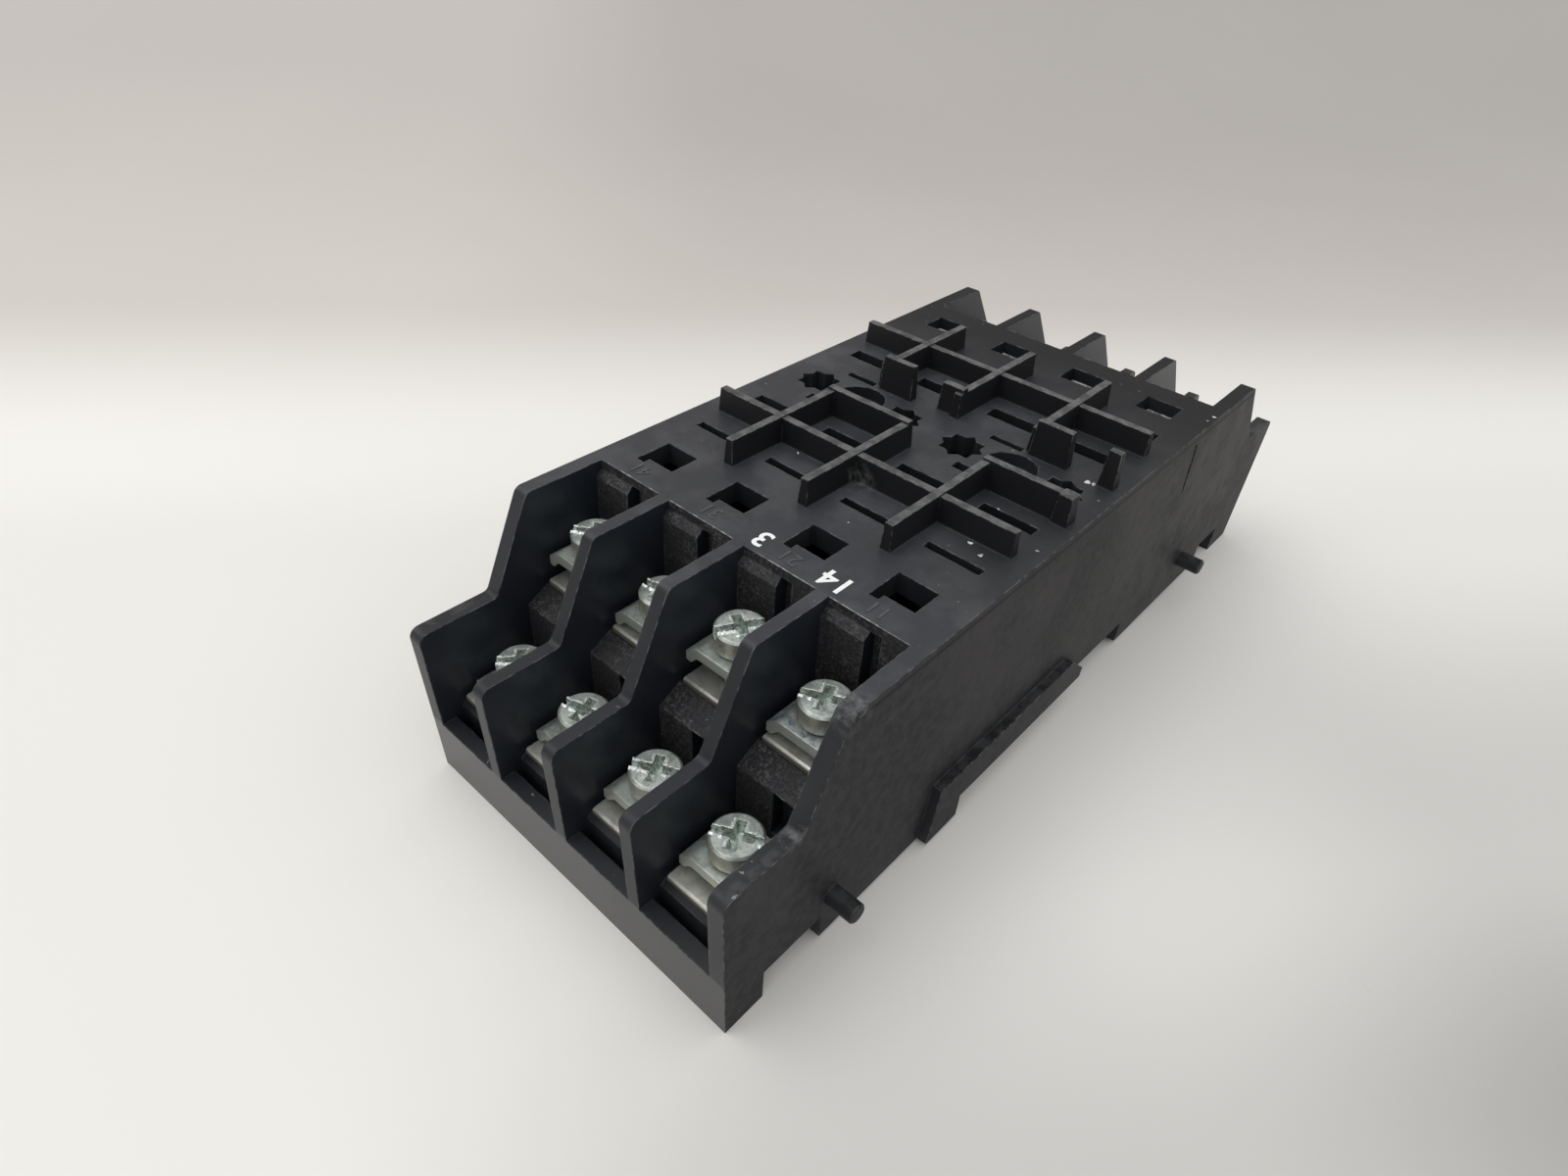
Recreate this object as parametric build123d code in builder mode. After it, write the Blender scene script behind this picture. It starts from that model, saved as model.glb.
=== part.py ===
# Relay socket with screw terminals at both ends, in millimetres.
# The origin is the centre of the underside, under the middle of the rail. +X runs across the
# socket, +Y from the near end to the far end, and +Z up from the mounting surface.
from build123d import *
import os

os.makedirs("parts", exist_ok=True)

# Columns and walls
column_count = 4
cell_clear = 9.2
barrier_wall = 1.5
outer_wall = 1.85

# Outline of the two-tier walls, seen from the side
deck_height = 31.3
tier_height = 20.5
near_tier_length = 23.55
far_tier_length = 25.5
tier_lean = 0.6
step_inset = 8.65
near_crown_inset = 13.8
far_crown_inset = 16.0
corner_round = 1.1
step_round = 0.8

# Deck, core and sills
near_deck_y = 32.95
far_deck_y = 31.0
deck_wall = 2.5
end_wall = 1.95
core_bottom = 4.3
floor_wall = 1.0
sill_height = 7.8
sill_wall = 1.5
core_pocket_near = 33.6
core_pocket_far = 45.0
core_pocket_depth = 4.2

# Screw
screw_r = 1.5
head_r = 2.6
head_height = 2.15
head_chamfer = 0.25
shank_length = 7.2
slot_width = 0.85
slot_depth = 0.9
cross_arm_width = 1.05
cross_span = 3.3
cross_depth = 1.5
cross_taper = 8

# Clamp
head_gap = 0.5
clamp_half_width = 4.0
clamp_half_depth = 3.3
clamp_height = 2.1
clamp_wall = 1.2
clamp_shoulder = 1.25
clamp_lip = 0.65
clamp_arch_run = 0.85
clamp_round = 1.1
clamp_arch_round = 0.6
clamp_edge_round = 0.35
clamp_hole_clearance = 0.3

# Strip and the spaces around it
strip_width = 8.0
strip_wall = 1.0
strip_round = 0.35
lower_strip_nose = 4.8
upper_strip_nose = 3.75
thread_clearance = 0.05
relief_width = 3.8
tip_clearance = 0.5
tunnel_clearance = 0.1

# Terminal places
lower_strip_z = 9.7
upper_strip_z = 19.0
lower_screw_inset = 7.55
upper_screw_inset = 5.0
block_depth = 11.35
block_slope_depth = 2.7
block_slope_drop = 1.5
ledge_setback = 0.3
ledge_chamfer = 0.8
far_lift = 0.45

# How far each near clamp is backed off, and how the screw slots are turned
near_upper_lifts = [1.9, 0.25, 2.25, 0.45]
near_lower_lifts = [0, 0.4, 0.45, 0.45]
upper_turns = [35, 12, 62, 24]
lower_turns = [48, 15, 30, 26]

# Pilasters and pockets in the cells
pilaster_width = 5.0
pilaster_depth = 0.85
pilaster_drop = 1.1
pilaster_chamfer = 0.7
groove_width = 1.3
groove_depth = 0.8
pocket_width = 3.2
pocket_depth = 1.5
pocket_offset = 1.6
pocket_rise = 1.2

# Blade slots in the deck
row_a_y = -19.75
row_a_width = 1.1
row_b_y = -10.05
row_b_width = 1.5
row_c_y = 8.45
row_c_width = 2.2
row_d_y = 17.4
row_d_width = 2.4
slot_length = 6.5
coil_slot_y = 3.2
coil_slot_length = 4.2
coil_slot_width = 1.0
coil_slot_offset = 2.35
coil_columns = [0, 2]

# Ribs of the relay's seat
rib_wall = 1.25
rib_height = 2.9
rib_draft = 3
long_rib_height = 3.1
near_rib_y = -15.3
near_rib_half = 20.1
far_rib_y = 12.8
far_rib_half = 20.4
long_rib_near_inset = 9.15
long_rib_far_inset = 10.2
mid_rib_y = -6.4
mid_rib_height = 3.4
mid_rib_block = 1.9

# Tabs of the relay's seat
tab_wall = 1.35
tab_height = 4.4
tab_length = 4.8
tab_y = 3.4
short_tab_y = 4.5
short_tab_height = 3.6
short_tab_length = 3.3
end_tab_length = 1.9

# Keying holes, wells and sight holes of the relay's seat
star_x = [-17.1, -4.4, 4.4, 17.1]
star_y = -1.2
star_r = 2.75
well_r = 3.1
well_y = -1.0
well_depth = 1.6
sight_x = [-14.5, 7.05]
sight_y = -5.1
sight_length = 1.9
sight_width = 1.4

# Windows near the ends of the deck
window_width = 4.6
window_length = 3.8
window_inset = 5.7
window_notch_width = 1.1
window_notch_length = 0.85
far_ledge_length = 1.9
far_ledge_drop = 0.7
lip_x = [8.5, 17.6]
lip_width = 1.2
lip_length = 0.4
lip_drop = 0.5

# Lower edge of the side walls
end_foot_length = 4.9
end_notch_inset = 12.9
far_notch_inset = 6.4
end_notch_height = 4.2
foot_raise = 0.7
rail_near_y = -21.7
rail_far_y = 18.3
rail_gap_height = 4.0
tooth_near_y = 3.2
tooth_far_y = 6.3
tooth_raise = 1.2

# Raised band over the rail gap
band_near_y = -27.3
band_far_y = 4.8
band_lean = 0.9
band_slope_start_y = 1.2
band_height = 8.75
band_far_height = 5.6
band_proud = 1.2

# Side pegs and the holes for a neighbour's pegs
peg_r = 1.1
peg_length = 3.4
near_peg_y = -42.6
near_peg_z = 7.0
far_peg_y = 34.7
far_peg_z = 6.5
peg_chamfer = 0.2
peg_hole_clearance = 0.1

# Base cover, its stakes and the fixed claws
rail_width = 35.0
rail_play = 0.6
cover_wall = 1.6
cover_clearance = 0.1
boss_width = 4.0
boss_height = 3.4
stake_r = 1.0
stake_head_r = 1.6
stake_head_height = 0.6
stake_head_taper = 20
stake_clearance = 0.05
stake_near_inset = 6.95
stake_far_inset = 5.4
claw_x = 11.5
claw_width = 8.0
claw_wall = 1.6
claw_reach = 2.6
claw_lip = 1.6
claw_chamfer = 0.7

# Sprung rail latch, its guides and its stop post
latch_width = 12.0
latch_wall = 2.0
latch_clearance = 0.1
latch_tail_y = -44.5
latch_reach = 2.0
latch_travel = 3.0
latch_slope = 1.4
guide_wall = 1.2
guide_lip = 1.0
guide_lip_wall = 0.8
guide_margin = 1.0
guide_far_y = -22.8
post_y = -25.6
post_width = 3.0
post_length = 1.4
latch_window_width = 3.4
driver_slot_width = 5.0
driver_slot_length = 1.6
driver_slot_y = -41.8

# Spring receptacles under the slots
leaf_wall = 0.45
fork_rise = 1.6
fork_headroom = 1.4
fork_half_gap = 0.75
fork_waist = 0.5
fork_flare = 0.85
fork_waist_drop = 1.3
tail_wall = 0.8
blade_width = 5.8
coil_blade_width = 3.4
wide_inset = 0.4

# Values worked out from the ones above
pitch = cell_clear + barrier_wall
side_x = (column_count * cell_clear + (column_count - 1) * barrier_wall) / 2 + outer_wall
inner_half = side_x - outer_wall
column_x = [(index - (column_count - 1) / 2) * pitch for index in range(column_count)]
barrier_x = [(index - (column_count - 2) / 2) * pitch for index in range(column_count - 1)]
cavity_top = deck_height - deck_wall
floor_top = core_bottom + floor_wall
cover_bottom = rail_gap_height
cover_top = cover_bottom + cover_wall
near_cavity_y = end_wall - near_deck_y
far_cavity_y = far_deck_y - end_wall
cavity_y = (near_cavity_y + far_cavity_y) / 2
cavity_length = far_cavity_y - near_cavity_y
near_foot_y = near_deck_y + near_tier_length
far_foot_y = far_deck_y + far_tier_length
near_step_y = near_foot_y - step_inset
far_step_y = far_foot_y - step_inset
near_lower_y = near_foot_y - lower_screw_inset
far_lower_y = far_foot_y - lower_screw_inset
near_upper_y = near_deck_y + upper_screw_inset
far_upper_y = far_deck_y + upper_screw_inset
front_lean = tier_lean * sill_height / tier_height
near_sill_back = near_foot_y - sill_wall
far_sill_back = far_foot_y - sill_wall
near_ledge_face = near_lower_y + lower_strip_nose + ledge_setback
far_ledge_face = far_lower_y + lower_strip_nose + ledge_setback
near_block_y = near_deck_y + block_depth
far_block_y = far_deck_y + block_depth
pocket_bottom = lower_strip_z + strip_wall + pocket_rise
pocket_top = upper_strip_z - block_slope_drop
near_window_y = window_inset - near_deck_y
far_window_y = far_deck_y - window_inset
long_rib_near_y = long_rib_near_inset - near_deck_y
long_rib_far_y = far_deck_y - long_rib_far_inset
pilaster_bottom = upper_strip_z + strip_wall + tunnel_clearance
pilaster_top = deck_height - pilaster_drop
relief_depth = shank_length - clamp_height - head_gap - strip_wall + tip_clearance
stake_rows = [stake_near_inset - near_deck_y, far_deck_y - stake_far_inset]
stake_points = [(x, y) for x in (barrier_x[0], barrier_x[-1]) for y in stake_rows]

# Pilaster of a cell's back wall, at the corner of the cell and facing -Y
with BuildPart() as pilaster:
    with BuildSketch(Plane.YZ):
        with BuildLine():
            Polyline(
                (0, pilaster_bottom),
                (-pilaster_depth, pilaster_bottom),
                (-pilaster_depth, pilaster_top - pilaster_chamfer),
                (pilaster_chamfer - pilaster_depth, pilaster_top),
                (0, pilaster_top),
                close=True,
            )
        make_face()
    extrude(amount=pilaster_width)

# Housing, one moulding
with BuildPart() as housing:

    # Section of the core: sills, floors, ledges, terminal blocks, end walls and deck
    with BuildSketch(Plane.YZ.offset(-inner_half)):
        with BuildLine():
            Polyline(
                (-near_foot_y, 0),
                (-near_foot_y - front_lean, sill_height),
                (-near_sill_back, sill_height),
                (-near_sill_back, floor_top),
                (-near_ledge_face, floor_top),
                (-near_ledge_face, lower_strip_z - ledge_chamfer),
                (ledge_chamfer - near_ledge_face, lower_strip_z),
                (-near_block_y, lower_strip_z),
                (-near_block_y, upper_strip_z - block_slope_drop),
                (block_slope_depth - near_block_y, upper_strip_z),
                (-near_deck_y, upper_strip_z),
                (-near_deck_y, deck_height),
                (far_deck_y, deck_height),
                (far_deck_y, upper_strip_z),
                (far_block_y - block_slope_depth, upper_strip_z),
                (far_block_y, upper_strip_z - block_slope_drop),
                (far_block_y, lower_strip_z),
                (far_ledge_face - ledge_chamfer, lower_strip_z),
                (far_ledge_face, lower_strip_z - ledge_chamfer),
                (far_ledge_face, floor_top),
                (far_sill_back, floor_top),
                (far_sill_back, sill_height),
                (far_foot_y + front_lean, sill_height),
                (far_foot_y, 0),
                (far_sill_back, 0),
                (far_sill_back, core_bottom),
                (far_cavity_y, core_bottom),
                (far_cavity_y, cavity_top),
                (near_cavity_y, cavity_top),
                (near_cavity_y, core_bottom),
                (-near_sill_back, core_bottom),
                (-near_sill_back, 0),
                close=True,
            )
        make_face()
    extrude(amount=2 * inner_half)

    # Side walls and barriers share one two-tier outline
    wall_kinds = [
        ([-side_x, inner_half], outer_wall, 0),
        ([x - barrier_wall / 2 for x in barrier_x], barrier_wall, core_bottom),
    ]
    for starts, wall, bottom in wall_kinds:
        bottom_lean = tier_lean * bottom / tier_height
        with BuildSketch(*[Plane.YZ.offset(start) for start in starts]) as outline:
            with BuildLine():
                Polyline(
                    (-near_foot_y - bottom_lean, bottom),
                    (-near_foot_y - tier_lean, tier_height),
                    (-near_step_y, tier_height),
                    (near_crown_inset - near_foot_y, deck_height),
                    (far_foot_y - far_crown_inset, deck_height),
                    (far_step_y, tier_height),
                    (far_foot_y + tier_lean, tier_height),
                    (far_foot_y + bottom_lean, bottom),
                    close=True,
                )
            make_face()
            corners = outline.vertices().group_by(Axis.Y)
            tier_corners = corners[1].sort_by(Axis.X)
            fillet(tier_corners[1:-1], step_round)
            outer_corners = outline.vertices().sort_by(Axis.X)
            crowns = outline.vertices().group_by(Axis.Y)[-1]
            fillet([outer_corners[0], outer_corners[-1]] + crowns, corner_round)
            if bottom:
                with Locations((cavity_y, 0)):
                    Rectangle(cavity_length, 2 * cover_top, mode=Mode.SUBTRACT)
        extrude(amount=wall)

    # Bosses on the partitions carry the stakes that hold the cover
    with BuildSketch(Plane.XY.offset(cover_top)):
        with Locations(*stake_points):
            Rectangle(boss_width, boss_width)
    extrude(amount=boss_height)
    with BuildSketch(Plane.XY.offset(cover_top)):
        with Locations(*stake_points):
            Circle(stake_r)
    extrude(amount=-cover_wall)
    with BuildSketch(Plane.XY.offset(cover_bottom)):
        with Locations(*stake_points):
            Circle(stake_head_r)
    extrude(amount=-stake_head_height, taper=stake_head_taper)

    # Pilasters on the back walls of the cells
    near_corners = [Location((x - cell_clear / 2, -near_deck_y, 0)) for x in column_x]
    far_corners = [Location((x + cell_clear / 2, far_deck_y, 0), (0, 0, 180)) for x in column_x]
    with Locations(*near_corners, *far_corners):
        add(pilaster.part)

    # Grooves beside the pilasters
    groove_offset = pilaster_width - cell_clear / 2 + groove_width / 2
    with BuildSketch(Plane.XY.offset(pilaster_bottom)):
        with Locations(*[(x + groove_offset, groove_depth / 2 - near_deck_y) for x in column_x]):
            Rectangle(groove_width, groove_depth)
        with Locations(*[(x - groove_offset, far_deck_y - groove_depth / 2) for x in column_x]):
            Rectangle(groove_width, groove_depth)
    extrude(amount=pilaster_top - pilaster_bottom, mode=Mode.SUBTRACT)

    # Pockets in the faces of the terminal blocks
    with BuildSketch(Plane.XY.offset(pocket_bottom)):
        with Locations(*[(x + pocket_offset, pocket_depth / 2 - near_block_y) for x in column_x]):
            Rectangle(pocket_width, pocket_depth)
        with Locations(*[(x - pocket_offset, far_block_y - pocket_depth / 2) for x in column_x]):
            Rectangle(pocket_width, pocket_depth)
    extrude(amount=pocket_top - pocket_bottom, mode=Mode.SUBTRACT)

    # Tunnels of the lower strips and windows of the upper strips
    with BuildSketch(Plane.XY.offset(lower_strip_z)):
        with Locations(*[(x, (far_block_y - near_block_y) / 2) for x in column_x]):
            Rectangle(strip_width + 2 * tunnel_clearance, near_block_y + far_block_y)
    extrude(amount=strip_wall + tunnel_clearance, mode=Mode.SUBTRACT)
    with BuildSketch(Plane.XY.offset(upper_strip_z)):
        with Locations(*[(x, (far_deck_y - near_deck_y) / 2) for x in column_x]):
            Rectangle(strip_width + 2 * tunnel_clearance, near_deck_y + far_deck_y)
    extrude(amount=strip_wall + tunnel_clearance, mode=Mode.SUBTRACT)

    # Square relief pockets take the screw tips
    with BuildSketch(Plane.XY.offset(upper_strip_z)):
        with Locations(*[(x, y) for x in column_x for y in (-near_upper_y, far_upper_y)]):
            Rectangle(relief_width, relief_width)
    extrude(amount=-relief_depth, mode=Mode.SUBTRACT)
    with BuildSketch(Plane.XY.offset(lower_strip_z)):
        with Locations(*[(x, y) for x in column_x for y in (-near_lower_y, far_lower_y)]):
            Rectangle(relief_width, relief_width)
    extrude(amount=-relief_depth, mode=Mode.SUBTRACT)

    # Moulding pockets under the terminal blocks
    core_pocket_y = (core_pocket_near + core_pocket_far) / 2
    with BuildSketch(Plane.XY.offset(core_bottom)):
        with Locations(*[(x, side * core_pocket_y) for x in column_x for side in (-1, 1)]):
            Rectangle(cell_clear, core_pocket_far - core_pocket_near)
    extrude(amount=core_pocket_depth, mode=Mode.SUBTRACT)

    # Ribs of the seat, across the deck and along it over the partitions
    with BuildSketch(Plane.XY.offset(deck_height)):
        with Locations((0, near_rib_y)):
            Rectangle(2 * near_rib_half, rib_wall)
        with Locations((0, far_rib_y)):
            Rectangle(2 * far_rib_half, rib_wall)
    extrude(amount=rib_height, taper=rib_draft)
    with BuildSketch(Plane.XY.offset(deck_height)):
        with Locations(*[(x, (long_rib_near_y + mid_rib_y) / 2) for x in barrier_x]):
            Rectangle(rib_wall, mid_rib_y - long_rib_near_y)
        with Locations(*[(x, (tab_y + long_rib_far_y) / 2) for x in barrier_x]):
            Rectangle(rib_wall, long_rib_far_y - tab_y)
    extrude(amount=long_rib_height, taper=rib_draft)

    # Middle ribs: one joins the first two long ribs, one runs from the third to the edge
    with BuildSketch(Plane.XY.offset(deck_height)):
        for start_x, end_x in ((barrier_x[0], barrier_x[1]), (barrier_x[2], inner_half)):
            with Locations(((start_x + end_x) / 2, mid_rib_y)):
                Rectangle(end_x - start_x + rib_wall, rib_wall)
        with Locations((inner_half + rib_wall / 2 - mid_rib_block / 2, mid_rib_y)):
            Rectangle(mid_rib_block, mid_rib_block)
    extrude(amount=mid_rib_height, taper=rib_draft)

    # Tabs that guide the relay's body
    tall_tabs = [
        (barrier_x[0] + tab_length / 2, tab_length),
        (barrier_x[2] + tab_length / 2, tab_length),
        (inner_half - end_tab_length / 2 + rib_wall / 2, end_tab_length),
    ]
    with BuildSketch(Plane.XY.offset(deck_height)):
        for x, length in tall_tabs:
            with Locations((x, tab_y)):
                Rectangle(length, tab_wall)
    extrude(amount=tab_height, taper=rib_draft)
    with BuildSketch(Plane.XY.offset(deck_height)):
        with Locations((barrier_x[1] + rib_wall / 2 - short_tab_length / 2, short_tab_y)):
            Rectangle(short_tab_length, tab_wall)
    extrude(amount=short_tab_height, taper=rib_draft)

    # Everything that goes straight through the deck
    slot_rows = [
        (row_a_y, row_a_width),
        (row_b_y, row_b_width),
        (row_c_y, row_c_width),
        (row_d_y, row_d_width),
    ]
    notch_x = (window_notch_width - window_width) / 2
    near_notch_y = near_window_y - (window_length + window_notch_length) / 2
    far_ledge_y = far_window_y - (window_length - far_ledge_length) / 2
    far_deep_y = far_window_y + far_ledge_length / 2
    with BuildSketch(Plane.XY.offset(deck_height)):
        for row_y, row_width in slot_rows:
            with Locations(*[(x, row_y) for x in column_x]):
                Rectangle(slot_length, row_width)
        with Locations(*[(column_x[index] + coil_slot_offset, coil_slot_y) for index in coil_columns]):
            Rectangle(coil_slot_length, coil_slot_width)
        with Locations(*[(x, star_y) for x in star_x]):
            RegularPolygon(star_r, 4)
            RegularPolygon(star_r, 4, rotation=45)
        with Locations(*[(x, sight_y) for x in sight_x]):
            Rectangle(sight_length, sight_width)
        with Locations(*[(x, near_window_y) for x in column_x]):
            Rectangle(window_width, window_length)
        with Locations(*[(x + notch_x, near_notch_y) for x in column_x]):
            Rectangle(window_notch_width, window_notch_length)
        with Locations(*[(x, far_deep_y) for x in column_x]):
            Rectangle(window_width, window_length - far_ledge_length)
        with Locations(*[(x + notch_x, far_ledge_y) for x in column_x]):
            Rectangle(window_notch_width, far_ledge_length)
    extrude(amount=-deck_wall, mode=Mode.SUBTRACT)

    # Shallow ledges of the far windows, and round wells over the outer partitions
    with BuildSketch(Plane.XY.offset(deck_height)):
        with Locations(*[(x, far_ledge_y) for x in column_x]):
            Rectangle(window_width, far_ledge_length)
    extrude(amount=-far_ledge_drop, mode=Mode.SUBTRACT)
    with BuildSketch(Plane.XY.offset(deck_height)):
        with Locations((barrier_x[0], well_y), (barrier_x[2], well_y)):
            Circle(well_r)
    extrude(amount=-well_depth, mode=Mode.SUBTRACT)

    # Small moulded lips on the far deck edge
    with BuildSketch(Plane.XY.offset(deck_height)):
        with Locations(*[(x, far_deck_y + lip_length / 2) for x in lip_x]):
            Rectangle(lip_width, lip_length)
    extrude(amount=-lip_drop)

    # Lower edge of both side walls: end notches, raised middle and the gap for the rail
    near_notch_y = end_notch_inset - near_foot_y
    far_notch_y = far_foot_y - end_notch_inset
    lower_cuts = [
        (near_notch_y, far_notch_y, foot_raise),
        (end_foot_length - near_foot_y, near_notch_y, end_notch_height),
        (far_notch_y, far_foot_y - far_notch_inset, end_notch_height),
        (rail_near_y, tooth_near_y, rail_gap_height),
        (tooth_near_y, tooth_far_y, tooth_raise),
        (tooth_far_y, rail_far_y, rail_gap_height),
    ]
    with BuildSketch(Plane.YZ.offset(-side_x), Plane.YZ.offset(inner_half)):
        for start_y, end_y, height in lower_cuts:
            with Locations(((start_y + end_y) / 2, height / 2)):
                Rectangle(end_y - start_y, height)
    extrude(amount=outer_wall, mode=Mode.SUBTRACT)

    # Raised band over the rail gap, on the right side wall
    with BuildSketch(Plane.YZ.offset(side_x)):
        with BuildLine():
            Polyline(
                (band_near_y, foot_raise),
                (band_near_y + band_lean, band_height),
                (band_slope_start_y, band_height),
                (band_far_y, band_far_height),
                (band_far_y, rail_gap_height),
                (rail_near_y, rail_gap_height),
                (rail_near_y, foot_raise),
                close=True,
            )
        make_face()
    extrude(amount=band_proud)

    # Pegs on the right wall, and holes in the left wall for a neighbour's pegs
    peg_points = [(near_peg_y, near_peg_z), (far_peg_y, far_peg_z)]
    with BuildSketch(Plane.YZ.offset(side_x)):
        with Locations(*peg_points):
            Circle(peg_r)
    extrude(amount=peg_length)
    chamfer(housing.edges().group_by(Axis.X)[-1], peg_chamfer)
    with BuildSketch(Plane.YZ.offset(-side_x)):
        with Locations(*peg_points):
            Circle(peg_r + peg_hole_clearance)
    extrude(amount=outer_wall, mode=Mode.SUBTRACT)
housing.part.label = "housing"
export_step(housing.part, "parts/housing.step")

# Base cover with fixed rail claws and the guides of the latch
guide_inner = latch_width / 2 + latch_clearance
latch_top = cover_bottom - latch_clearance
latch_bottom = latch_top - latch_wall
lip_top = latch_bottom - latch_clearance
claw_root_y = rail_width / 2 + rail_play
lip_height = foot_raise + claw_lip
guide_near_y = near_cavity_y + guide_margin
with BuildPart() as base_cover:
    with BuildSketch(Plane.XY.offset(cover_bottom)):
        with Locations((0, cavity_y)):
            Rectangle(2 * (inner_half - cover_clearance), cavity_length - 2 * cover_clearance)
        with Locations(*stake_points):
            Circle(stake_r + stake_clearance, mode=Mode.SUBTRACT)
    extrude(amount=cover_wall)

    # Fixed claws hook under the far edge of the rail
    with BuildSketch(*[Plane.YZ.offset(x - claw_width / 2) for x in (-claw_x, claw_x)]):
        with BuildLine():
            Polyline(
                (claw_root_y, cover_bottom),
                (claw_root_y + claw_wall, cover_bottom),
                (claw_root_y + claw_wall, foot_raise),
                (claw_root_y - claw_reach + claw_chamfer, foot_raise),
                (claw_root_y - claw_reach, foot_raise + claw_chamfer),
                (claw_root_y - claw_reach, lip_height),
                (claw_root_y, lip_height),
                close=True,
            )
        make_face()
    extrude(amount=claw_width)

    # Two lipped guides hold the latch from below
    with BuildSketch(Plane.XZ.offset(-guide_near_y)):
        for side in (-1, 1):
            with BuildLine():
                Polyline(
                    (side * guide_inner, cover_bottom),
                    (side * (guide_inner + guide_wall), cover_bottom),
                    (side * (guide_inner + guide_wall), lip_top - guide_lip_wall),
                    (side * (guide_inner - guide_lip), lip_top - guide_lip_wall),
                    (side * (guide_inner - guide_lip), lip_top),
                    (side * guide_inner, lip_top),
                    close=True,
                )
            make_face()
    extrude(amount=guide_near_y - guide_far_y)

    # Post in the latch's window that stops it at both ends of its travel
    with BuildSketch(Plane.XY.offset(cover_bottom)):
        with Locations((0, post_y)):
            Rectangle(post_width, post_length)
    extrude(amount=-(latch_clearance + latch_wall))
base_cover.part.label = "base_cover"
export_step(base_cover.part, "parts/base_cover.step")

# Rail latch, a slide that springs towards the near edge of the rail
latch_face_y = -rail_width / 2 - rail_play
stop_near_y = post_y - post_length / 2 - latch_clearance
stop_far_y = post_y + post_length / 2 + latch_clearance + latch_travel
with BuildPart() as rail_latch:
    with BuildSketch(Plane.XY.offset(latch_bottom)):
        with Locations((0, (latch_face_y + latch_tail_y) / 2)):
            Rectangle(latch_width, latch_face_y - latch_tail_y)
        with Locations((0, (stop_near_y + stop_far_y) / 2)):
            Rectangle(latch_window_width, stop_far_y - stop_near_y, mode=Mode.SUBTRACT)
        with Locations((0, driver_slot_y)):
            Rectangle(driver_slot_width, driver_slot_length, mode=Mode.SUBTRACT)
    extrude(amount=latch_wall)
    with BuildSketch(Plane.YZ.offset(-latch_width / 2)):
        with BuildLine():
            Polyline(
                (latch_face_y - latch_slope, latch_bottom),
                (latch_face_y, foot_raise),
                (latch_face_y + latch_reach - claw_chamfer, foot_raise),
                (latch_face_y + latch_reach, foot_raise + claw_chamfer),
                (latch_face_y + latch_reach, lip_height),
                (latch_face_y - latch_slope, lip_height),
                close=True,
            )
        make_face()
    extrude(amount=latch_width)
rail_latch.part.label = "rail_latch"
export_step(rail_latch.part, "parts/rail_latch.step")

# Terminal screw with a slot and a cross recess, its seat at the origin
with BuildPart() as screw:
    with BuildSketch():
        Circle(head_r)
    extrude(amount=head_height)
    chamfer(screw.edges().sort_by(Axis.Z)[-1], head_chamfer)
    with BuildSketch():
        Circle(screw_r)
    extrude(amount=-shank_length)
    with BuildSketch(Plane.XY.offset(head_height)):
        Rectangle(2 * head_r + slot_width, slot_width)
    extrude(amount=-slot_depth, mode=Mode.SUBTRACT)
    with BuildSketch(Plane.XY.offset(head_height)):
        Rectangle(cross_span, cross_arm_width)
        Rectangle(cross_arm_width, cross_span)
    extrude(amount=-cross_depth, taper=cross_taper, mode=Mode.SUBTRACT)

# Square clamp, arched over the wires, its side lips on the plane of the origin
shoulder_x = clamp_half_width - clamp_shoulder
foot_x = clamp_half_width - clamp_lip
arch_x = foot_x - clamp_arch_run
arch_z = clamp_height - clamp_wall
with BuildPart() as clamp:
    with BuildSketch(Plane.XZ.offset(-clamp_half_depth)) as front_view:
        with BuildLine():
            Polyline(
                (-clamp_half_width, 0),
                (-clamp_half_width, clamp_wall),
                (-shoulder_x, clamp_height),
                (shoulder_x, clamp_height),
                (clamp_half_width, clamp_wall),
                (clamp_half_width, 0),
                (foot_x, 0),
                (arch_x, arch_z),
                (-arch_x, arch_z),
                (-foot_x, 0),
                close=True,
            )
        make_face()
        heights = front_view.vertices().group_by(Axis.Y)
        fillet(heights[-1], clamp_round)
        fillet(front_view.vertices().filter_by_position(Axis.Y, arch_z, arch_z), clamp_arch_round)
        fillet(front_view.vertices().filter_by_position(Axis.Y, clamp_wall, clamp_wall), clamp_edge_round)
    extrude(amount=2 * clamp_half_depth)
    Hole(screw_r + clamp_hole_clearance)


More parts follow.
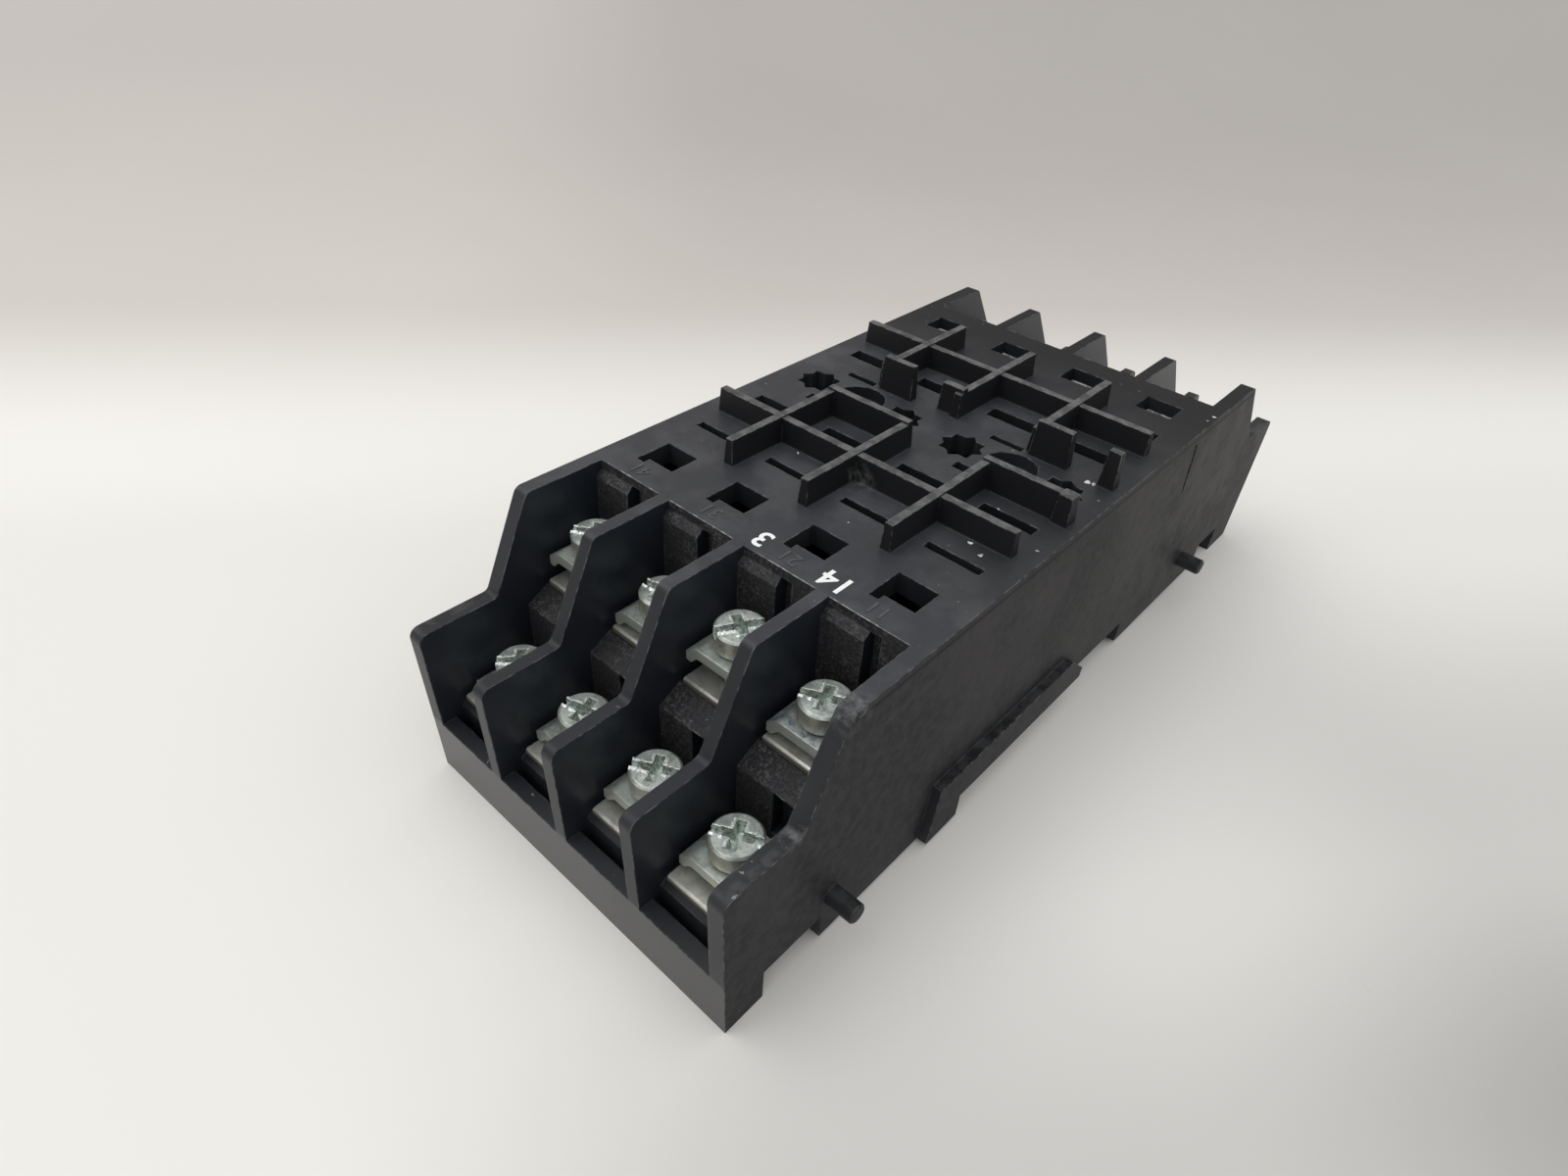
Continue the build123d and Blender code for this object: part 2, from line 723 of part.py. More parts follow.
def make_contact(screw_y, nose_y, inner_y, strip_z, slot_offset, slot_y, blade):
    """Terminal strip and the spring receptacle under its slot, one bent piece."""
    end = 1 if screw_y > 0 else -1
    wide_y = inner_y - end * wide_inset
    tail_start = wide_y + end * tail_wall
    with BuildPart() as contact:
        with BuildSketch(Plane.XY.offset(strip_z)):
            with Locations((0, (nose_y + wide_y) / 2)):
                Rectangle(strip_width, abs(nose_y - wide_y))
            with Locations((0, screw_y)):
                Circle(screw_r + thread_clearance, mode=Mode.SUBTRACT)
        extrude(amount=strip_wall)
        nose_face = contact.faces().sort_by(Axis.Y)[-1 if screw_y > 0 else 0]
        fillet(nose_face.edges().filter_by(Axis.X), strip_round)
        with BuildSketch(Plane.XY.offset(strip_z)):
            with Locations((slot_offset, (tail_start + slot_y) / 2)):
                Rectangle(blade, abs(tail_start - slot_y))
        extrude(amount=tail_wall)
        fork_bottom = upper_strip_z + fork_rise
        fork_top = cavity_top - fork_headroom
        with BuildSketch(Plane.YZ.offset(slot_offset - blade / 2)):
            with Locations((slot_y, (strip_z + fork_bottom) / 2)):
                Rectangle(tail_wall, fork_bottom - strip_z)
            with BuildLine():
                Polyline(
                    (slot_y - fork_flare, fork_top),
                    (slot_y - fork_waist, fork_top - fork_waist_drop),
                    (slot_y - fork_half_gap, fork_bottom),
                    (slot_y + fork_half_gap, fork_bottom),
                    (slot_y + fork_waist, fork_top - fork_waist_drop),
                    (slot_y + fork_flare, fork_top),
                )
            trace(line_width=leaf_wall)
        extrude(amount=blade)
    return contact.part


# Kinds of terminal: screw, nose of the strip, height, slot and width of the receptacle
far_lifts = column_count * [far_lift]
kinds = {
    "near_upper": {"y": -near_upper_y, "z": upper_strip_z, "lifts": near_upper_lifts, "turns": upper_turns},
    "near_lower": {"y": -near_lower_y, "z": lower_strip_z, "lifts": near_lower_lifts, "turns": lower_turns},
    "far_upper": {"y": far_upper_y, "z": upper_strip_z, "lifts": far_lifts, "turns": lower_turns},
    "far_lower": {"y": far_lower_y, "z": lower_strip_z, "lifts": far_lifts, "turns": upper_turns},
}
contacts = {
    "near_upper": make_contact(
        -near_upper_y, -near_upper_y - upper_strip_nose, near_cavity_y, upper_strip_z,
        0, row_a_y, blade_width,
    ),
    "near_lower": make_contact(
        -near_lower_y, -near_lower_y - lower_strip_nose, near_cavity_y, lower_strip_z,
        0, row_b_y, blade_width,
    ),
    "far_upper": make_contact(
        far_upper_y, far_upper_y + upper_strip_nose, far_cavity_y, upper_strip_z,
        0, row_c_y, blade_width,
    ),
    "far_lower": make_contact(
        far_lower_y, far_lower_y + lower_strip_nose, far_cavity_y, lower_strip_z,
        coil_slot_offset, coil_slot_y, coil_blade_width,
    ),
}

# Each terminal is a contact, a clamp and a screw, moved to its column
for kind, place in kinds.items():
    columns = coil_columns if kind == "far_lower" else range(column_count)
    for index in columns:
        x = column_x[index]
        lip_z = place["z"] + strip_wall + place["lifts"][index]
        seat_z = lip_z + clamp_height + head_gap
        pieces = {
            "contact": contacts[kind].moved(Location((x, 0, 0))),
            "clamp": clamp.part.moved(Location((x, place["y"], lip_z))),
            "screw": screw.part.moved(Location((x, place["y"], seat_z), (0, 0, place["turns"][index]))),
        }
        for piece, shape in pieces.items():
            shape.label = f"{piece}_{kind}_{index + 1}"
            export_step(shape, f"parts/{shape.label}.step")
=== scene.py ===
import math
import random
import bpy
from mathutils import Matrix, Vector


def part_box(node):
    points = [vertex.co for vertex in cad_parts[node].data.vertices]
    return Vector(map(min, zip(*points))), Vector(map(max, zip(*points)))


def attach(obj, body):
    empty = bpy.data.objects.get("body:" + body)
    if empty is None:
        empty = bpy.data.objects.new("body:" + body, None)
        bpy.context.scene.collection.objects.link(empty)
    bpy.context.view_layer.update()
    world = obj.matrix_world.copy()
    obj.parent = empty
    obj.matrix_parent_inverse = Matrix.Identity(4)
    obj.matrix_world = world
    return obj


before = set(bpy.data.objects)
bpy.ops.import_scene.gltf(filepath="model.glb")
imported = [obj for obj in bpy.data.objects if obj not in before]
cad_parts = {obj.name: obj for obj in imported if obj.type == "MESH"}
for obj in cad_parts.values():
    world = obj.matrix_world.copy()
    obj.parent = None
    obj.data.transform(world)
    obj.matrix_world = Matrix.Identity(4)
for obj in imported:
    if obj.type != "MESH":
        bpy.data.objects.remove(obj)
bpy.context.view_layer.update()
from types import SimpleNamespace

import bmesh
import bpy
from mathutils import Matrix, Vector

MM = 0.001

# Main sizes of the CAD, in mm
PITCH = 10.7  # from one column of terminals to the next
FIRST_COLUMN = -1.5 * PITCH
SIDE = 22.5  # half the width of the housing
DECK = 31.3  # height of the deck
DECK_NEAR, DECK_FAR = -32.95, 31.0  # where the deck ends along Y
GROOVE = 30.4  # height of the dark line along the side walls
LEDGE = 30.6  # height of the dusty ledge in the far windows

# Colours of the black moulding, each pair from dark to light
PLAIN = (0.013, 0.014, 0.017, 1), (0.022, 0.023, 0.027, 1)
# Smooth inner walls of the cells: their bluish tint is painted cool light
SMOOTH_WALL_PAINTED_COOL_LIGHT = (0.014, 0.017, 0.024, 1), (0.020, 0.024, 0.031, 1)
SIDE_WALL = (0.017, 0.0165, 0.017, 1), (0.038, 0.037, 0.037, 1)
FILM = (0.034, 0.035, 0.040, 1), (0.058, 0.059, 0.064, 1)
HANDLED = (0.014, 0.014, 0.015, 1), (0.046, 0.046, 0.047, 1)
# Paler rib tops: wear, and a painted sheen of the light they reflect
RUBBED_AND_PAINTED_SHEEN = (0.065, 0.065, 0.066, 1), (0.150, 0.150, 0.147, 1)
PITTED = (0.014, 0.014, 0.016, 1), (0.034, 0.033, 0.034, 1)
DUSTY = (0.045, 0.044, 0.043, 1), (0.34, 0.33, 0.31, 1)
STREAK = (0.085, 0.085, 0.083, 1)
# Pale patches towards the far end of the side wall: dust, and a painted sheen
FAR_DUST_AND_PAINTED_SHEEN = (0.088, 0.085, 0.083, 1)
# Painted shade on the far end of the deck
DECK_FAR_PAINTED_SHADE = (0.010, 0.010, 0.011, 1)
# Painted shade on the right part of the deck
DECK_RIGHT_PAINTED_SHADE = (0.014, 0.014, 0.015, 1)
# Painted shade for the band's ledge and the ribs' side faces
DEEP_PAINTED_SHADE = (0.005, 0.005, 0.006, 1)
# Painted light on the outer end faces of the sill
SILL_PAINTED_LIGHT = (0.062, 0.063, 0.064, 1)
GRAIN = (0.20, 0.19, 0.18, 1)
CLOUD = (0.050, 0.045, 0.046, 1)
LINE = (0.004, 0.004, 0.004, 1)
WORN = (0.27, 0.27, 0.265, 1)
DUST = (0.4, 0.4, 0.38, 1)

# Colours of the plated metal
DARK_SPOT = (0.10, 0.12, 0.13, 1)
# Darker patches around the rim of a screw's recess
RECESS_RIM_DARK = (0.12, 0.14, 0.13, 1)
# Pale edges of the metal: wear, and a painted highlight
WORN_EDGE_AND_HIGHLIGHT = (0.86, 0.88, 0.83, 1)


class Tree:
    """A material's node tree, with short ways to add and join nodes. Levels, radii and depths are in mm."""

    def __init__(self, name):
        self.material = bpy.data.materials.new(name)
        self.material.use_nodes = True
        self.nodes = self.material.node_tree.nodes
        self.links = self.material.node_tree.links
        self.nodes.clear()
        self.output = self.nodes.new("ShaderNodeOutputMaterial")
        self.shader = self.nodes.new("ShaderNodeBsdfPrincipled")
        self.link(self.shader.outputs["BSDF"], self.output.inputs["Surface"])
        self.coords = self.nodes.new("ShaderNodeTexCoord").outputs["Object"]

    def link(self, source, target):
        self.links.new(source, target)

    def put(self, value, socket):
        if isinstance(value, bpy.types.NodeSocket):
            self.link(value, socket)
        else:
            socket.default_value = value

    def dress(self, colour, rough, normal):
        """Fill the main inputs of the shader and hand back the finished material."""
        self.put(colour, self.shader.inputs["Base Color"])
        self.put(rough, self.shader.inputs["Roughness"])
        self.put(normal, self.shader.inputs["Normal"])
        return self.material

    def stretched(self, scale):
        node = self.nodes.new("ShaderNodeMapping")
        self.link(self.coords, node.inputs["Vector"])
        node.inputs["Scale"].default_value = scale
        return node.outputs["Vector"]

    def noise(self, scale, detail=2.0, rough=0.5, vector=None):
        node = self.nodes.new("ShaderNodeTexNoise")
        self.link(vector or self.coords, node.inputs["Vector"])
        node.inputs["Scale"].default_value = scale
        node.inputs["Detail"].default_value = detail
        node.inputs["Roughness"].default_value = rough
        return node.outputs["Fac"]

    def patches(self, scale, detail, rough, low, high):
        """Noise as a mask: 0 where it is under low and 1 where it is over high."""
        return self.ramp(self.noise(scale, detail, rough), low, high)

    def math(self, kind, a, b=0.0, c=0.0, clamp=False):
        node = self.nodes.new("ShaderNodeMath")
        node.operation = kind
        node.use_clamp = clamp
        self.put(a, node.inputs[0])
        self.put(b, node.inputs[1])
        self.put(c, node.inputs[2])
        return node.outputs["Value"]

    def ramp(self, value, low, high, to_low=0.0, to_high=1.0):
        node = self.nodes.new("ShaderNodeMapRange")
        node.interpolation_type = "SMOOTHSTEP"
        self.put(value, node.inputs["Value"])
        node.inputs["From Min"].default_value = low
        node.inputs["From Max"].default_value = high
        node.inputs["To Min"].default_value = to_low
        node.inputs["To Max"].default_value = to_high
        return node.outputs["Result"]

    def above(self, value, level, soft):
        """A mask that is 1 where a place is over the level."""
        return self.ramp(value, (level - soft) * MM, (level + soft) * MM)

    def below(self, value, level, soft):
        """A mask that is 1 where a place is under the level."""
        return self.ramp(value, (level + soft) * MM, (level - soft) * MM)

    def mix(self, factor, a, b):
        node = self.nodes.new("ShaderNodeMix")
        node.data_type = "RGBA"
        self.put(factor, node.inputs["Factor"])
        self.put(a, node.inputs["A"])
        self.put(b, node.inputs["B"])
        return node.outputs["Result"]

    def coat(self, base, paint, strength, *masks):
        """Lay a second colour over the first where every mask is 1."""
        return self.mix(self.both(*masks, strength), base, paint)

    def dot(self, a, b):
        node = self.nodes.new("ShaderNodeVectorMath")
        node.operation = "DOT_PRODUCT"
        self.link(a, node.inputs[0])
        self.link(b, node.inputs[1])
        return node.outputs["Value"]

    def parts(self, vector):
        node = self.nodes.new("ShaderNodeSeparateXYZ")
        self.link(vector, node.inputs["Vector"])
        return node.outputs["X"], node.outputs["Y"], node.outputs["Z"]

    def place(self):
        """Where a point is on the object, in metres."""
        return self.parts(self.coords)

    def facing(self):
        """Which way a point of the object faces."""
        return self.parts(self.nodes.new("ShaderNodeTexCoord").outputs["Normal"])

    def size(self, value):
        return self.math("ABSOLUTE", value)

    def off(self, value, level):
        """How far a value is from a level, on either side."""
        return self.size(self.math("SUBTRACT", value, level))

    def both(self, *masks):
        result = masks[0]
        for mask in masks[1:]:
            result = self.math("MULTIPLY", result, mask)
        return result

    def near(self, point, radius):
        """A mask that is 1 at a point of the object and falls to 0 at the radius."""
        node = self.nodes.new("ShaderNodeVectorMath")
        node.operation = "DISTANCE"
        self.link(self.coords, node.inputs[0])
        node.inputs[1].default_value = Vector(point) * MM
        return self.ramp(node.outputs["Value"], radius * MM, radius * 0.35 * MM)

    def rounding(self, radius):
        """A rounded-edge normal, and a mask that is 1 along sharp outer edges."""
        bevel = self.nodes.new("ShaderNodeBevel")
        bevel.samples = 4
        bevel.inputs["Radius"].default_value = radius * MM
        geometry = self.nodes.new("ShaderNodeNewGeometry")
        flat = self.dot(bevel.outputs["Normal"], geometry.outputs["True Normal"])
        edge = self.ramp(flat, 0.98, 0.80)
        outer = self.ramp(self.open_sky(radius * 3), 0.55, 0.95)
        return bevel.outputs["Normal"], self.math("MULTIPLY", edge, outer)

    def open_sky(self, distance):
        shade = self.nodes.new("ShaderNodeAmbientOcclusion")
        shade.samples = 4
        shade.inputs["Distance"].default_value = distance * MM
        return shade.outputs["AO"]

    def bump(self, height, strength, depth, normal=None):
        node = self.nodes.new("ShaderNodeBump")
        node.inputs["Strength"].default_value = strength
        node.inputs["Distance"].default_value = depth * MM
        self.put(height, node.inputs["Height"])
        if normal is not None:
            self.link(normal, node.inputs["Normal"])
        return node.outputs["Normal"]


# Materials
def moulded(name, dark, light, worn, rough, grain, edge_radius):
    """Moulded thermoplastic: fine grain, smudges and paler worn edges."""
    tree = Tree(name)
    round_normal, edge = tree.rounding(edge_radius)
    colour = tree.mix(tree.patches(90, 4.0, 0.6, 0.35, 0.68), dark, light)
    colour = tree.coat(colour, worn, 0.75, edge, tree.patches(900, 3.0, 0.7, 0.46, 0.66))
    gloss = tree.ramp(tree.noise(28, 3.0, 0.55), 0.3, 0.7, rough - 0.06, rough + 0.08)
    fine = tree.math("MULTIPLY_ADD", tree.noise(2600), 0.5, tree.noise(700, 3.0, 0.6))
    return tree.dress(colour, gloss, tree.bump(fine, grain, 0.12, round_normal))


def housing_masks(tree):
    """Where each kind of surface of the housing is, by its place and the way it faces."""
    x, y, z = tree.place()
    nx, ny, nz = tree.facing()
    wide, long, sideways = tree.size(x), tree.size(y), tree.size(nx)
    column = tree.math("FRACT", tree.math("MULTIPLY_ADD", x, 1 / (PITCH * MM), 3.0))
    upright = tree.ramp(sideways, 0.7, 0.9)

    on = SimpleNamespace()
    on.up = tree.ramp(nz, 0.6, 0.9)
    on.inside = tree.below(wide, 21.4, 0.2)
    on.cell = tree.both(on.inside, tree.above(long, 30.75, 0.25))
    on.wall = tree.both(on.cell, upright)
    on.front = tree.both(
        on.cell,
        tree.ramp(tree.off(column, 0.5), 0.440, 0.425),
        tree.ramp(sideways, 0.6, 0.4),
        tree.below(long, 46.5, 0.3),
        tree.ramp(nz, 0.97, 0.90),
    )
    on.side = tree.both(tree.above(wide, 22.25, 0.15), upright)
    on.sill = tree.both(tree.above(long, 54.75, 0.25), tree.ramp(tree.size(ny), 0.6, 0.8), tree.below(z, 7.95, 0.25))
    on.deck = tree.both(on.up, tree.above(z, 31.05, 0.15), tree.below(z, 31.65, 0.15))
    on.deck_far = tree.both(on.deck, tree.above(y, 14.0, 14.0))
    on.crest = tree.both(on.up, tree.above(z, 33.3, 0.3))
    on.band = tree.both(on.up, tree.above(x, 22.7, 0.1))
    on.tops = tree.both(on.up, tree.below(z, 31.1, 0.1), tree.math("SUBTRACT", 1.0, on.inside))
    on.rib = tree.both(tree.above(z, 31.5, 0.1), tree.ramp(nz, 0.6, 0.3))
    on.groove = tree.both(on.side, tree.below(tree.off(z, GROOVE * MM), 0.23, 0.09))
    on.ledge = tree.both(
        on.up, on.inside, tree.above(y, 20.25, 0.25), tree.below(tree.off(z, LEDGE * MM), 0.3, 0.1),
    )
    on.far_side = tree.both(on.side, tree.above(y, 20.0, 25.0))
    # The far end of the deck, where shade is painted
    on.deck_dark_end = tree.both(on.deck, tree.above(y, 17.5, 12.5))
    on.deck_right = tree.both(on.deck, tree.above(x, 13.5, 4.5), tree.above(y, -24.0, 6.0))
    on.rib_tip = tree.above(z, 33.0, 0.5)
    return on


def housing_colour(tree, on, edge, grit, lumps):
    """The colour of the housing, laid on from the plain black to the wear and the dust, with painted light and shade
    on some faces.
    """
    smudge = tree.patches(90, 4.0, 0.6, 0.35, 0.68)
    colour = tree.mix(smudge, *PLAIN)
    # The smooth cell walls take a bluish tint: painted cool light
    colour = tree.coat(colour, tree.mix(smudge, *SMOOTH_WALL_PAINTED_COOL_LIGHT), 0.85, on.wall)
    colour = tree.coat(colour, tree.mix(tree.patches(800, 4.0, 0.75, 0.38, 0.64), *SIDE_WALL), 0.8, on.side)
    streaks = tree.ramp(tree.noise(1.0, 4.0, 0.75, tree.stretched((60, 70, 420))), 0.56, 0.72)
    colour = tree.coat(colour, STREAK, 0.16, on.side, streaks)
    # Paler towards the far end of the side wall: dust, and a painted sheen
    colour = tree.coat(colour, FAR_DUST_AND_PAINTED_SHEEN, 0.65, on.far_side, tree.patches(160, 4.0, 0.7, 0.38, 0.62))
    colour = tree.mix(on.deck, colour, tree.mix(tree.patches(130, 4.0, 0.7, 0.40, 0.66), *FILM))
    # Painted shade: the far end of the deck is made darker
    colour = tree.coat(colour, DECK_FAR_PAINTED_SHADE, 0.9, on.deck_dark_end)
    # Painted shade: the right part of the deck is made darker
    colour = tree.coat(colour, DECK_RIGHT_PAINTED_SHADE, 0.55, on.deck_right)
    # Painted shade on the top of the band's ledge, which the wall shades
    colour = tree.coat(colour, DEEP_PAINTED_SHADE, 0.8, on.band)
    colour = tree.coat(colour, tree.mix(tree.ramp(lumps, 0.40, 0.60), *HANDLED), 0.8, on.tops)
    # Painted shade on the ribs' side faces
    colour = tree.coat(colour, DEEP_PAINTED_SHADE, 0.9, on.rib)
    # Rib tops made paler: wear, and a painted sheen
    colour = tree.coat(colour, tree.mix(tree.ramp(lumps, 0.38, 0.62), *RUBBED_AND_PAINTED_SHEEN), 0.8, on.crest)
    # Painted light: the sill's end faces are made lighter
    colour = tree.coat(colour, SILL_PAINTED_LIGHT, 0.8, on.sill)
    colour = tree.coat(colour, tree.mix(tree.ramp(grit, 0.40, 0.60), *PITTED), 0.9, on.front)
    grains = tree.both(on.front, tree.ramp(grit, 0.53, 0.62), tree.patches(260, 2.0, 0.5, 0.42, 0.62))
    colour = tree.coat(colour, GRAIN, 0.24, grains)
    colour = tree.coat(colour, CLOUD, 0.5, on.side, tree.patches(75, 3.0, 0.6, 0.46, 0.66))
    colour = tree.coat(colour, LINE, 0.85, on.groove)
    colour = tree.coat(colour, tree.mix(tree.patches(1500, 3.0, 0.7, 0.42, 0.62), *DUSTY), 0.8, on.ledge)

    # Worn edges, three scuffed places and specks of pale dust
    scuffed = tree.math(
        "MAXIMUM", tree.near((21.9, -42.0, 30.8), 2.6), tree.near((21.9, -48.5, 20.7), 1.6),
    )
    scuffed = tree.math("MAXIMUM", scuffed, tree.near((0.9, -15.7, 31.3), 3.0))
    scuffed = tree.both(scuffed, tree.patches(1100, 3.0, 0.7, 0.40, 0.70), 0.35)
    strength = tree.math("MULTIPLY_ADD", on.rib_tip, 0.20, 0.75)
    chipped = tree.both(edge, tree.patches(900, 3.0, 0.7, 0.42, 0.62), strength)
    colour = tree.mix(tree.math("MAXIMUM", chipped, scuffed), colour, WORN)
    specks = tree.both(tree.patches(1500, 2.0, 0.5, 0.70, 0.74), on.up, tree.patches(75, 2.0, 0.5, 0.50, 0.62))
    return tree.coat(colour, DUST, 0.5, specks)


def housing_plastic():
    """The black moulding: smooth inner walls, grainy fronts in the cells, dusty deck, matt scuffed sides."""
    tree = Tree("body")
    on = housing_masks(tree)
    round_normal, edge = tree.rounding(0.22)
    grit = tree.noise(3200, 2.0, 0.6)
    lumps = tree.noise(520, 3.0, 0.65)

    sheen = tree.math("MULTIPLY_ADD", on.side, -0.20, 0.36)
    sheen = tree.math("MULTIPLY_ADD", on.deck_far, -0.10, sheen)
    sheen = tree.math("MULTIPLY_ADD", on.band, -0.16, sheen)
    tree.link(sheen, tree.shader.inputs["Specular IOR Level"])

    gloss = tree.ramp(tree.noise(24, 3.0, 0.55), 0.3, 0.7, 0.40, 0.50)
    for mask, change in ((on.wall, -0.10), (on.side, 0.12), (on.sill, -0.10), (on.deck_far, 0.14)):
        gloss = tree.math("MULTIPLY_ADD", mask, change, gloss)
    gloss = tree.math("MULTIPLY_ADD", tree.math("MAXIMUM", on.front, on.rib), 0.16, gloss, clamp=True)

    rough_fronts = tree.both(on.front, tree.math("MULTIPLY_ADD", lumps, 5.0, tree.math("MULTIPLY", grit, 2.2)))
    height = tree.math("MULTIPLY_ADD", grit, 0.2, tree.math("MULTIPLY", lumps, 0.3))
    height = tree.math("ADD", height, rough_fronts)
    colour = housing_colour(tree, on, edge, grit, lumps)
    return tree.dress(colour, gloss, tree.bump(height, 0.30, 0.14, round_normal))


def plated(name, base, cloudy, front, rough, scratch, edge_radius, mottle=0.0, recess=None):
    """Satin zinc or nickel plate: cloudy and faintly brushed, with pale worn edges that also carry a painted
    highlight, painted shade on faces that don't face up, and a recess painted lighter as a painted reflection.
    """
    tree = Tree(name)
    nz = tree.facing()[2]
    round_normal, edge = tree.rounding(edge_radius)
    cloud = tree.noise(640, 4.0, 0.68)
    fine = tree.noise(2600, 3.0, 0.65)
    colour = tree.mix(tree.ramp(cloud, 0.40, 0.62), base, cloudy)
    # Faces that don't face up turn darker and browner: painted shade and reflection
    colour = tree.mix(tree.ramp(nz, 0.55, 0.15), colour, front)
    if mottle:
        spots = tree.both(tree.ramp(fine, 0.52, 0.64), tree.ramp(cloud, 0.42, 0.56))
        colour = tree.coat(colour, DARK_SPOT, mottle, spots, tree.ramp(nz, 0.5, 0.9))
    if recess:
        hollow = tree.ramp(tree.open_sky(1.4), 0.92, 0.55)
        # The recess is painted lighter than the head: a painted reflection
        colour = tree.mix(tree.both(hollow, tree.ramp(fine, 0.60, 0.42)), colour, recess)
        rim = tree.both(tree.ramp(hollow, 0.05, 0.35), tree.ramp(hollow, 0.9, 0.6))
        # Darker patches around the rim of the recess
        colour = tree.coat(colour, RECESS_RIM_DARK, 0.6, rim, tree.ramp(fine, 0.48, 0.58))
    # Pale edges: wear, and a painted highlight
    colour = tree.coat(colour, WORN_EDGE_AND_HIGHLIGHT, 0.7, edge, tree.ramp(fine, 0.40, 0.60))
    tree.shader.inputs["Metallic"].default_value = 0.6
    gloss = tree.ramp(fine, 0.3, 0.75, rough - 0.06, rough + 0.12)
    lines = tree.noise(1.0, 3.0, 0.7, tree.stretched(scratch))
    height = tree.math("MULTIPLY_ADD", cloud, 0.9, lines)
    return tree.dress(colour, gloss, tree.bump(height, 0.25, 0.06, round_normal))


def print_ink():
    tree = Tree("white_print")
    patchy = tree.patches(1800, 3.0, 0.7, 0.26, 0.44)
    colour = tree.mix(patchy, (0.55, 0.55, 0.54, 1), (0.88, 0.88, 0.86, 1))
    return tree.dress(colour, tree.ramp(patchy, 0, 1, 0.7, 0.5), tree.bump(tree.noise(2500), 0.1, 0.05))


def burr_metal_painted_glint():
    tree = Tree("burr")
    # Near-white burrs: their colour is a painted glint
    colour = tree.mix(tree.patches(3000, 2.0, 0.5, 0.4, 0.6), (0.84, 0.90, 0.86, 1), (0.95, 0.98, 0.96, 1))
    tree.shader.inputs["Metallic"].default_value = 0.3
    return tree.dress(colour, 0.28, tree.bump(tree.noise(4200), 0.3, 0.04))


def pale_flash():
    tree = Tree("flash")
    colour = tree.mix(tree.patches(1500, 2.0, 0.5, 0.4, 0.6), (0.12, 0.12, 0.118, 1), (0.34, 0.34, 0.33, 1))
    gloss = tree.ramp(tree.noise(900), 0.3, 0.7, 0.42, 0.62)
    return tree.dress(colour, gloss, tree.bump(tree.noise(3000), 0.2, 0.04))


def pale_dust():
    tree = Tree("fleck")
    colour = tree.mix(tree.patches(2500, 2.0, 0.5, 0.4, 0.6), (0.42, 0.42, 0.40, 1), (0.75, 0.75, 0.72, 1))
    return tree.dress(colour, 0.7, tree.bump(tree.noise(3000), 0.3, 0.05))


def dark_mark():
    """A dead black, without the sheen that would pale it on the side wall."""
    dark = moulded("hairline", LINE, (0.008, 0.008, 0.008, 1), (0.01, 0.01, 0.01, 1), 0.7, 0.1, 0.1)
    dark.node_tree.nodes["Principled BSDF"].inputs["Specular IOR Level"].default_value = 0.0
    return dark


# Painted shade for the clamps' side faces
CLAMP_SIDE_PAINTED_SHADE = (0.50, 0.52, 0.46, 1)
CLAMP_LINES = (140, 1900, 1900)  # stretched along X
body = housing_plastic()
cover = moulded("cover", (0.024, 0.024, 0.026, 1), (0.034, 0.034, 0.036, 1), (0.13, 0.13, 0.13, 1), 0.5, 0.2, 0.2)
latch = moulded("latch", (0.034, 0.034, 0.035, 1), (0.05, 0.05, 0.05, 1), (0.16, 0.16, 0.16, 1), 0.42, 0.16, 0.2)
# The third colour of each plated finish is the painted shade of its side faces
strip = plated(
    "strip", (0.58, 0.58, 0.53, 1), (0.44, 0.43, 0.38, 1), (0.22, 0.20, 0.17, 1), 0.38,
    scratch=(2600, 90, 2600), edge_radius=0.18,
)
clamp = plated(
    "clamp", (0.63, 0.67, 0.61, 1), (0.40, 0.44, 0.40, 1), CLAMP_SIDE_PAINTED_SHADE, 0.34,
    scratch=CLAMP_LINES, edge_radius=0.2, mottle=0.25,
)
spotted = plated(
    "clamp_spotted", (0.62, 0.66, 0.63, 1), (0.34, 0.38, 0.40, 1), CLAMP_SIDE_PAINTED_SHADE, 0.36,
    scratch=CLAMP_LINES, edge_radius=0.2, mottle=0.85,
)
zinc = plated(
    "screw", (0.55, 0.58, 0.53, 1), (0.36, 0.39, 0.35, 1), (0.30, 0.29, 0.245, 1), 0.32,
    # The pale recess colour is a painted reflection
    scratch=(900, 900, 900), edge_radius=0.14, mottle=0.30, recess=(0.70, 0.80, 0.75, 1),
)

FINISHES = (
    ("housing", body), ("base_cover", cover), ("rail_latch", latch), ("contact", strip),
    ("clamp_near_upper_4", spotted), ("clamp", clamp), ("screw", zinc),
)
for name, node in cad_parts.items():
    node.data.materials.clear()
    node.data.materials.append(next(finish for start, finish in FINISHES if name.startswith(start)))


# Lettering: plain numbers where the photograph has printed or moulded marks
def lettering(name, text, x, y, size, finish, height, weight):
    """A number on the deck that reads from the far end, as in the photograph."""
    curve = bpy.data.curves.new(name, "FONT")
    curve.body = text
    curve.size = size * MM
    curve.extrude = height * MM
    curve.offset = weight * MM
    curve.align_x = "CENTER"
    curve.align_y = "CENTER"
    piece = bpy.data.objects.new(name, curve)
    bpy.context.collection.objects.link(piece)
    piece.location = (x * MM, y * MM, DECK * MM)
    piece.rotation_euler = (0, 0, math.radians(180))
    piece.data.materials.append(finish)
    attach(piece, "base")


